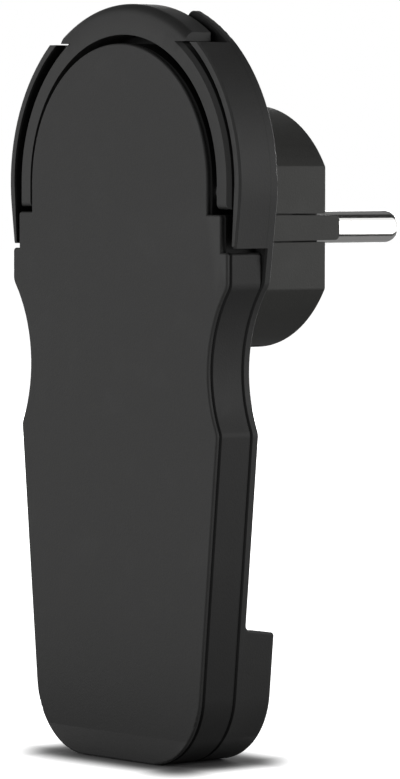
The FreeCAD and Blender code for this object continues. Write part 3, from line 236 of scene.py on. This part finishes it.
class NodeKit:
    """Adds nodes to a node tree."""

    def __init__(self, tree):
        self.tree = tree

    def node(self, kind, settings=None, values=None, output=0):
        """Add a node: its settings first, then the values or links of its sockets."""
        made = self.tree.nodes.new(kind)
        for key, setting in (settings or {}).items():
            if key == "stops":
                ramp = made.color_ramp
                ramp.elements[0].position, ramp.elements[0].color = setting[0]
                ramp.elements[1].position, ramp.elements[1].color = setting[-1]
                for place, colour in setting[1:-1]:
                    ramp.elements.new(place).color = colour
            else:
                setattr(made, key, setting)
        for key, value in (values or {}).items():
            if isinstance(value, Signal):
                self.tree.links.new(value.socket, made.inputs[key])
            else:
                made.inputs[key].default_value = value
        return Signal(self, made.outputs[output])

    def seen(self):
        """1 for what the camera, mirrors and clear things see, 0 for the light on surfaces."""
        camera = self.node("ShaderNodeLightPath", output="Is Camera Ray")
        mirror = self.node("ShaderNodeLightPath", output="Is Glossy Ray")
        clear = self.node("ShaderNodeLightPath", output="Is Transmission Ray")
        return camera.or_else(mirror).or_else(clear)


class MaterialKit(NodeKit):
    """Builds one procedural material round a Principled shader."""

    def __init__(self, name, **look):
        self.material = bpy.data.materials.new(name)
        self.material.use_nodes = True
        super().__init__(self.material.node_tree)
        self.shader = self.tree.nodes["Principled BSDF"]
        for socket, value in look.items():
            self.shader.inputs[socket.replace("_", " ")].default_value = value

    def place(self):
        """The point on the object, in metres of the part's frame."""
        return self.node("ShaderNodeTexCoord", output="Object")

    def direction(self):
        """The way that the surface looks."""
        return self.node("ShaderNodeTexCoord", output="Normal")

    def axis(self, name, vector):
        """One coordinate of a vector."""
        return self.node("ShaderNodeSeparateXYZ", values={"Vector": vector}, output=name)

    def vector(self, operation, first, second=None, output="Vector"):
        """Result of one sum on vectors."""
        values = {0: first} if second is None else {0: first, 1: second}
        return self.node("ShaderNodeVectorMath", {"operation": operation}, values, output)

    def mapped(self, kind, vector, scale, turn):
        """A vector with its axes turned and scaled, as a point or, inversely, as a texture."""
        values = {"Vector": vector, "Scale": scale, "Rotation": turn}
        return self.node("ShaderNodeMapping", {"vector_type": kind}, values, "Vector")

    def band(self, name, low, high, soft=GROOVE_SOFT):
        """1 between two levels of one of the point's coordinates, 0 outside them."""
        level = self.axis(name, self.place())
        return level.between(low - soft, low) * level.between(high, high + soft).off()

    def outward(self):
        """1 where a face looks away from the head's middle line, -1 where it looks at it."""
        arm = self.vector("SUBTRACT", self.place(), (0.0, 0.0, HEAD_MIDDLE))
        arm = self.vector("NORMALIZE", self.vector("MULTIPLY", arm, (1.0, 0.0, 1.0)))
        return self.vector("DOT_PRODUCT", arm, self.direction(), "Value")

    def noise(self, scale, detail=2.0, rough=0.5, vector=None):
        """Cloudy noise from 0 to 1."""
        values = {
            "Vector": vector or self.place(),
            "Scale": scale,
            "Detail": detail,
            "Roughness": rough,
        }
        return self.node("ShaderNodeTexNoise", values=values)

    def streaks(self, scales, turn=(0.0, 0.0, 0.0), detail=2.0, rough=0.5):
        """Noise with a scale for each axis, for lines that run along one of them."""
        return self.noise(1.0, detail, rough, self.mapped("POINT", self.place(), scales, turn))

    def grains(self, scale):
        """Distance to the nearest of many scattered points."""
        values = {"Vector": self.place(), "Scale": scale}
        return self.node("ShaderNodeTexVoronoi", values=values, output="Distance")

    def mix(self, factor, first, second):
        """Colour between two colours."""
        values = {0: factor, 6: first, 7: second}
        return self.node("ShaderNodeMix", {"data_type": "RGBA"}, values, 2)

    def ramp(self, factor, stops):
        """Colour looked up on a ramp."""
        return self.node("ShaderNodeValToRGB", {"stops": stops}, {"Fac": factor}, "Color")

    def bump(self, height, depth):
        """Normal from a height, with its depth in metres."""
        values = {"Height": height, "Distance": depth, "Strength": 1.0}
        return self.node("ShaderNodeBump", values=values, output="Normal")

    def feed(self, **signals):
        """Link signals to the shader's sockets."""
        for socket, signal in signals.items():
            self.tree.links.new(signal.socket, self.shader.inputs[socket.replace("_", " ")])
        return self.material


def shade(colour, factor):
    """The same colour, lighter or darker."""
    return tuple(min(1.0, channel * factor) for channel in colour[:3]) + (1.0,)


def cover_painted_shade(kit):
    """Painted shade in the parting groove behind the cover's edge."""
    return kit.band("Y", COVER_LINE - GROOVE, COVER_LINE)


def frame_painted_shade(kit):
    """Painted shade in both parting grooves and on the sides that stand in the gap round the
    tongue.
    """
    front = kit.band("Y", COVER_LINE, COVER_LINE + GROOVE)
    back = kit.band("Y", SHELL_LINE - GROOVE, SHELL_LINE)
    return front.or_else(back).or_else(kit.axis("Z", kit.place()).between(*GAP_START))


def shell_painted_shade_and_mould_line(kit):
    """Painted shade in the handle's parting groove and in the gap behind the bail, and the
    mould's faint line.
    """
    handle = kit.axis("Z", kit.place()).between(WALL_END - WALL_END_SOFT, WALL_END).off()
    aside = kit.axis("Y", kit.direction()).between(*FRONT_FACING)
    # The parting groove and the gap are darkened as painted shade; the mould's faint line is the
    # shell's own mark.
    groove = kit.band("Y", SHELL_LINE, SHELL_LINE + GROOVE) * handle * aside
    depth = kit.band("Y", *GAP_DEPTH, soft=GAP_SOFT)
    gap = kit.outward().between(*GAP_OUTWARD).off() * depth * handle.off()
    witness = kit.band("Y", SHELL_LINE - WITNESS_HALF, SHELL_LINE + WITNESS_HALF)
    return groove.or_else(gap).or_else(witness * WITNESS_STRENGTH)


# Nodes of the housing, with how much darker or lighter each is shown than the shell colour, and
# the shade painted into its grooves and gap.
SHELL_NODES = (
    ("front_cover", 1.0, cover_painted_shade),
    ("middle_frame", 0.55, frame_painted_shade),
    ("rear_shell", 1.0, shell_painted_shade_and_mould_line),
    ("pull_bail", 0.9, None),
)


def moulded_plastic(name, colour, roughness, grain_depth, painted_shade_and_mould_line=None):
    """Spark-eroded plastic: fine pits, faint clouds of tone, edges lightened as a painted
    highlight, and shade painted into its hollows.
    """
    kit = MaterialKit(name, IOR=1.49, Specular_IOR_Level=PLASTIC_SHINE)
    clouds = kit.noise(55.0, detail=3.0)
    fine = kit.noise(2600.0, rough=0.6)
    pits = kit.grains(3300.0)
    handled = kit.noise(160.0, detail=4.0, rough=0.6).between(0.5, 0.75)
    # Edges are lightened as a painted highlight.
    edge = kit.node("ShaderNodeNewGeometry", output="Pointiness").between(0.515, 0.6)
    tone = kit.mix(clouds, shade(colour, 0.92), shade(colour, 1.08))
    tone = kit.mix(fine.between(0.35, 0.7) * 0.35, tone, shade(colour, 1.3))
    tone = kit.mix(edge * 0.5, tone, shade(colour, 1.9))
    # Grooves and gaps are darkened almost to black here as painted shade.
    if painted_shade_and_mould_line:
        tone = kit.mix(painted_shade_and_mould_line(kit) * 0.85, tone, shade(colour, 0.05))
    return kit.feed(
        Base_Color=tone,
        Roughness=clouds * 0.06 + fine * 0.08 + handled * -0.05 + roughness,
        Normal=kit.bump(fine * 0.6 + pits * 0.8, grain_depth),
    )


def plated_pin(name, colour):
    """Bright nickel, polished lengthwise, with rings from the lathe and faint insertion lines."""
    kit = MaterialKit(name, Metallic=1.0)
    rings = kit.streaks((60.0, 9000.0, 60.0))
    rubbed = kit.streaks((5200.0, 45.0, 5200.0), rough=0.6)
    dull = kit.noise(240.0, detail=3.0).between(0.45, 0.7)
    tone = kit.mix(rubbed.between(0.45, 0.75), colour, shade(colour, 0.93))
    return kit.feed(
        Base_Color=tone,
        Roughness=rubbed * 0.08 + dull * 0.06 + 0.07,
        Normal=kit.bump(rings * 0.6 + rubbed * 0.4, 1.2e-6),
    )


def plated_sheet(name, colour):
    """Rolled contact sheet with nickel on it: lines along the strip and a few dull spots."""
    kit = MaterialKit(name, Metallic=1.0)
    lines = kit.streaks((7000.0, 120.0, 120.0), detail=3.0, rough=0.55)
    spots = kit.noise(420.0, detail=4.0, rough=0.6).between(0.5, 0.72)
    tone = kit.mix(lines, shade(colour, 0.86), colour)
    tone = kit.mix(spots * 0.4, tone, shade(colour, 0.75))
    return kit.feed(
        Base_Color=tone,
        Roughness=lines * 0.14 + spots * 0.12 + 0.18,
        Normal=kit.bump(lines, 2.5e-6),
    )


def zinc_steel(name, colour):
    """Zinc-plated steel: cloudy passivation and short scratches from the driver."""
    kit = MaterialKit(name, Metallic=1.0)
    clouds = kit.noise(700.0, detail=3.0)
    scratches = kit.streaks((900.0, 900.0, 6500.0), turn=(0.0, 0.5, 0.0))
    yellowed = (colour[0], colour[1], colour[2] * 0.85, 1.0)
    stops = ((0.3, shade(colour, 0.8)), (0.55, shade(colour, 1.0)), (0.75, yellowed))
    return kit.feed(
        Base_Color=kit.ramp(clouds, stops),
        Roughness=scratches * 0.2 + clouds * 0.1 + 0.2,
        Normal=kit.bump(scratches, 2e-6),
    )


def drawn_wire(name, colour):
    """Spring wire with die lines and a trace of oil."""
    kit = MaterialKit(name, Metallic=1.0, Coat_Weight=0.2, Coat_Roughness=0.1)
    lines = kit.streaks((2500.0, 15000.0, 2500.0))
    film = kit.noise(500.0, detail=3.0)
    return kit.feed(
        Base_Color=kit.mix(film, shade(colour, 0.7), colour),
        Roughness=lines * 0.15 + 0.22,
        Normal=kit.bump(lines, 1.5e-6),
    )


def soft_rubber(name, colour):
    """Matt bush rubber with a bloom on it."""
    kit = MaterialKit(name, IOR=1.5, Specular_IOR_Level=0.3)
    bloom = kit.noise(260.0, detail=4.0, rough=0.6).between(0.45, 0.8)
    fine = kit.noise(3500.0)
    return kit.feed(
        Base_Color=kit.mix(bloom, colour, shade(colour, 2.2)),
        Roughness=fine * 0.1 + bloom * 0.05 + 0.68,
        Normal=kit.bump(fine, 8e-6),
    )


def paper_floor(name, colour):
    """Studio paper that the camera and mirrors see as plain white, with a contact shadow painted
    into its colour and its glow.
    """
    kit = MaterialKit(name, Roughness=0.9, Specular_IOR_Level=0.1, Emission_Strength=1.0)
    fibre = kit.noise(900.0, detail=3.0)
    low, high = FOOTPRINT
    nearest = kit.vector("MAXIMUM", kit.place(), low + (-1.0,))
    nearest = kit.vector("MINIMUM", nearest, high + (1.0,))
    way = kit.vector("SUBTRACT", kit.place(), nearest)
    turn = (0.0, 0.0, math.radians(CAMERA_AZIMUTH))
    way = kit.mapped("TEXTURE", way, SHADOW_REACH + (1.0,), turn)
    away = kit.vector("LENGTH", way, output="Value")
    paper = kit.mix(fibre, colour, shade(colour, 0.995))
    # The glow fades towards the plug, as painted contact shadow.
    glow = kit.seen() * away.between(*SHINE_SPAN) * PAPER_SHINE
    return kit.feed(
        # The paper's colour is painted dark round the plug as a contact shadow.
        Base_Color=kit.mix(away.between(*PAINTED_SHADOW_SPAN), shade(colour, PAINTED_SHADOW_TONE), paper),
        Emission_Color=kit.node("ShaderNodeCombineColor", values={0: glow, 1: glow, 2: glow}),
    )


def settings():
    """The sizes and colours that a user can change."""
    return bpy.context.scene.plug_looks


def dress(names, material):
    """Give CAD nodes a material."""
    for name in names:
        node = frame["nodes"][name]
        node.data.materials.clear()
        node.data.materials.append(material)


def add_object(name, mesh, material):
    """Turn a finished mesh into an object of the scene."""
    data = bpy.data.meshes.new(name)
    mesh.to_mesh(data)
    mesh.free()
    data.materials.append(material)
    made = bpy.data.objects.new(name, data)
    bpy.context.scene.collection.objects.link(made)
    return made


def flat_sheet(name, size, place, material):
    """Add a level rectangle."""
    mesh = bmesh.new()
    bmesh.ops.create_grid(mesh, x_segments=1, y_segments=1, size=0.5)
    bmesh.ops.scale(mesh, verts=mesh.verts, vec=size + (1.0,))
    bmesh.ops.translate(mesh, verts=mesh.verts, vec=place)
    return add_object(name, mesh, material)


def smooth_copy(node_name, piece_name, material, crease=CREASE):
    """Show a copy of a CAD node, with its corners joined and its curved faces shaded smooth."""
    mesh = bmesh.new()
    mesh.from_mesh(frame["nodes"][node_name].data)
    bmesh.ops.remove_doubles(mesh, verts=mesh.verts, dist=JOIN_DISTANCE)
    sharp = math.radians(crease)
    for face in mesh.faces:
        face.smooth = True
    for edge in mesh.edges:
        edge.smooth = len(edge.link_faces) == 2 and edge.calc_face_angle(0.0) < sharp
    piece = add_object(piece_name, mesh, material)
    even = piece.modifiers.new("even_shading", "WEIGHTED_NORMAL")
    even.mode = "FACE_AREA"
    even.weight = 100
    even.keep_sharp = True
    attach(piece, frame["nodes"][node_name]["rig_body"])
    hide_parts(node_name)
    return piece


class PlugLooks(bpy.types.PropertyGroup):
    """Colours and light of the plug."""

    shell_colour: bpy.props.FloatVectorProperty(
        name="Shell", description="Plastic of the housing and the pull bail",
        subtype="COLOR", size=4, min=0.0, max=1.0, default=(0.0192, 0.0192, 0.019, 1.0),
    )
    nose_colour: bpy.props.FloatVectorProperty(
        name="Nose", description="Plastic of the nose and the ejector slides",
        subtype="COLOR", size=4, min=0.0, max=1.0, default=(0.0208, 0.0208, 0.0197, 1.0),
    )
    pin_colour: bpy.props.FloatVectorProperty(
        name="Pins", description="Nickel of the contact pins",
        subtype="COLOR", size=4, min=0.0, max=1.0, default=(0.88, 0.875, 0.86, 1.0),
    )
    sheet_colour: bpy.props.FloatVectorProperty(
        name="Earth contacts", description="Plated sheet of the earth strap and socket",
        subtype="COLOR", size=4, min=0.0, max=1.0, default=(0.74, 0.73, 0.69, 1.0),
    )
    steel_colour: bpy.props.FloatVectorProperty(
        name="Steel", description="Screws, pivots and springs",
        subtype="COLOR", size=4, min=0.0, max=1.0, default=(0.6, 0.6, 0.61, 1.0),
    )
    inner_colour: bpy.props.FloatVectorProperty(
        name="Inner plastic", description="Keepers and cord clamp",
        subtype="COLOR", size=4, min=0.0, max=1.0, default=(0.22, 0.22, 0.21, 1.0),
    )
    rubber_colour: bpy.props.FloatVectorProperty(
        name="Bush", description="Rubber of the cord bush",
        subtype="COLOR", size=4, min=0.0, max=1.0, default=(0.018, 0.018, 0.018, 1.0),
    )
    grain_depth: bpy.props.FloatProperty(
        name="Grain depth", description="Depth of the moulded grain",
        unit="LENGTH", precision=6, min=0.0, max=0.001, default=0.000012,
    )
    floor_size: bpy.props.FloatProperty(
        name="Floor", description="Width of the studio floor",
        unit="LENGTH", min=1.0, default=6.0,
    )
    side_light: bpy.props.FloatProperty(
        name="Side light", description="Power of the soft light on the plug's right",
        unit="POWER", min=0.0, default=3.1,
    )
    front_light: bpy.props.FloatProperty(
        name="Front light", description="Power of the soft light in front",
        unit="POWER", min=0.0, default=6.3,
    )
    rear_light: bpy.props.FloatProperty(
        name="Rear light", description="Power of the soft light behind on the left",
        unit="POWER", min=0.0, default=5.0,
    )


class DressHousing(bpy.types.Operator):
    """Give the cover, frame, rear shell, bail, nose and slides their moulded plastic."""

    bl_idname = "plug.dress_housing"
    bl_label = "Housing and nose"

    def execute(self, context):
        look = settings()
        depth = look.grain_depth
        for name, tint, painted_shade_and_mould_line in SHELL_NODES:
            colour = shade(look.shell_colour, tint)
            plastic = moulded_plastic(name + "_plastic", colour, SHELL_ROUGHNESS, depth, painted_shade_and_mould_line)
            smooth_copy(name, name + "_moulding", plastic)
        nose = moulded_plastic("nose_plastic", look.nose_colour, NOSE_ROUGHNESS, depth)
        for name in NOSE_NODES:
            smooth_copy(name, name + "_moulding", nose)
        return {"FINISHED"}


class DressPins(bpy.types.Operator):
    """Give the contact pins their bright nickel."""

    bl_idname = "plug.dress_pins"
    bl_label = "Contact pins"

    def execute(self, context):
        nickel = plated_pin("pin_nickel", settings().pin_colour)
        for name in PIN_NODES:
            smooth_copy(name, name + "_turned", nickel, PIN_CREASE)
        return {"FINISHED"}


class DressEarth(bpy.types.Operator):
    """Give the earth strap and socket their plated sheet."""

    bl_idname = "plug.dress_earth"
    bl_label = "Earth contacts"

    def execute(self, context):
        sheet = plated_sheet("earth_sheet", settings().sheet_colour)
        for name in EARTH_NODES:
            smooth_copy(name, name + "_pressed", sheet)
        return {"FINISHED"}


class DressFittings(bpy.types.Operator):
    """Give the screws, pivots, springs, inner pieces and bush their finishes."""

    bl_idname = "plug.dress_fittings"
    bl_label = "Screws, springs and inner pieces"

    def execute(self, context):
        look = settings()
        depth = look.grain_depth
        zinc = zinc_steel("screw_zinc", look.steel_colour)
        wire = drawn_wire("spring_wire", look.steel_colour)
        inner = moulded_plastic("inner_plastic", look.inner_colour, INNER_ROUGHNESS, depth)
        rubber = soft_rubber("bush_rubber", look.rubber_colour)
        for name in SCREW_NODES + PIVOT_NODES:
            smooth_copy(name, name + "_plated", zinc)
        for name, joint in SPRING_JOINTS:
            coil = smooth_copy(name, name + "_coil", wire, COIL_CREASE)
            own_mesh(coil)
        dress(INNER_NODES, inner)
        for name in BUSH_NODES:
            smooth_copy(name, name + "_moulding", rubber)
        return {"FINISHED"}


class BuildStage(bpy.types.Operator):
    """Set the plug on a pale floor with soft light and the photograph's camera."""

    bl_idname = "plug.build_stage"
    bl_label = "Floor, light and camera"

    def execute(self, context):
        scene = bpy.context.scene
        scene.view_settings.view_transform = "Standard"
        self.lay_floor()
        self.set_world(scene)
        self.hang_lights(scene)
        self.hang_cards()
        self.place_camera(scene)
        return {"FINISHED"}

    def lay_floor(self):
        """Pale floor under the plug's lower end."""
        width = settings().floor_size
        place = (0.0, 0.0, CAD_BOX[0][2] - FLOOR_GAP)
        paper = paper_floor("studio_paper", WHITE)
        floor = flat_sheet("studio_floor", (width, width), place, paper)

    def set_world(self, scene):
        """White where the camera, mirrors and clear things look, and softer as a light."""
        world = bpy.data.worlds.new("studio")
        scene.world = world
        world.use_nodes = True
        kit = NodeKit(world.node_tree)
        background = world.node_tree.nodes["Background"]
        background.inputs["Color"].default_value = WHITE
        level = kit.seen() * (1.0 - FILL_LEVEL) + FILL_LEVEL
        world.node_tree.links.new(level.socket, background.inputs["Strength"])

    def hang_lights(self, scene):
        """A soft box behind the plug on the right, a larger one in front and one for its back."""
        for name, place, aim, size, power in SOFT_BOXES:
            light = bpy.data.lights.new(name, "AREA")
            light.shape = "RECTANGLE"
            light.size, light.size_y = size
            light.energy = getattr(settings(), power)
            lamp = bpy.data.objects.new(name, light)
            turn = (Vector(aim) - Vector(place)).to_track_quat("-Z", "Y")
            lamp.matrix_world = Matrix.Translation(place) @ turn.to_matrix().to_4x4()
            scene.collection.objects.link(lamp)

    def hang_cards(self):
        """Dark and grey cards for the reflections in the pins and on the nose's rounds."""
        for name, place, size, level in CARDS:
            kit = MaterialKit(
                name, Base_Color=BLACK, Roughness=1.0,
                Emission_Color=(level, level, level, 1.0), Emission_Strength=1.0,
            )
            card = flat_sheet(name, size, place, kit.material)
            for ray in ("camera", "diffuse", "transmission", "volume_scatter", "shadow"):
                setattr(card, "visible_" + ray, False)

    def place_camera(self, scene):
        """Camera where the photograph was taken from."""
        azimuth, fall, roll = map(math.radians, (CAMERA_AZIMUTH, CAMERA_FALL, CAMERA_ROLL))
        level = Vector((math.cos(azimuth), math.sin(azimuth), 0.0))
        ahead = Vector((
            -math.sin(azimuth) * math.cos(fall),
            math.cos(azimuth) * math.cos(fall),
            -math.sin(fall),
        ))
        above = level.cross(ahead)
        right = level * math.cos(roll) + above * math.sin(roll)
        up = above * math.cos(roll) - level * math.sin(roll)
        turn = Matrix((right, up, -ahead)).transposed().to_4x4()
        lens = bpy.data.cameras.new("photo_camera")
        lens.sensor_width = FILM_WIDTH
        lens.lens = CAMERA_LENS
        lens.clip_start, lens.clip_end = CAMERA_CLIP
        camera = bpy.data.objects.new("photo_camera", lens)
        camera.matrix_world = Matrix.Translation(CAMERA_PLACE) @ turn
        scene.collection.objects.link(camera)
        scene.camera = camera


class PlugPanel(bpy.types.Panel):
    """Lists the colours, the lights and the steps."""

    bl_idname = "VIEW3D_PT_plug"
    bl_label = "Flat plug"
    bl_space_type = "VIEW_3D"
    bl_region_type = "UI"
    bl_category = "Plug"

    def draw(self, context):
        for name in PlugLooks.__annotations__:
            self.layout.prop(settings(), name)
        for step in STEPS:
            self.layout.operator(step.bl_idname)


STEPS = (DressHousing, DressPins, DressEarth, DressFittings, BuildStage)
CLASSES = (PlugLooks,) + STEPS + (PlugPanel,)


def register():
    """Make the settings, steps and panel known to Blender."""
    for item in CLASSES:
        bpy.utils.register_class(item)
    bpy.types.Scene.plug_looks = bpy.props.PointerProperty(type=PlugLooks)


def unregister():
    """Take them out again."""
    del bpy.types.Scene.plug_looks
    for item in reversed(CLASSES):
        bpy.utils.unregister_class(item)


def main():
    """Run every step in order."""
    register()
    for step in STEPS:
        group, name = step.bl_idname.split(".")
        getattr(getattr(bpy.ops, group), name)()


if __name__ == "__main__":
    main()
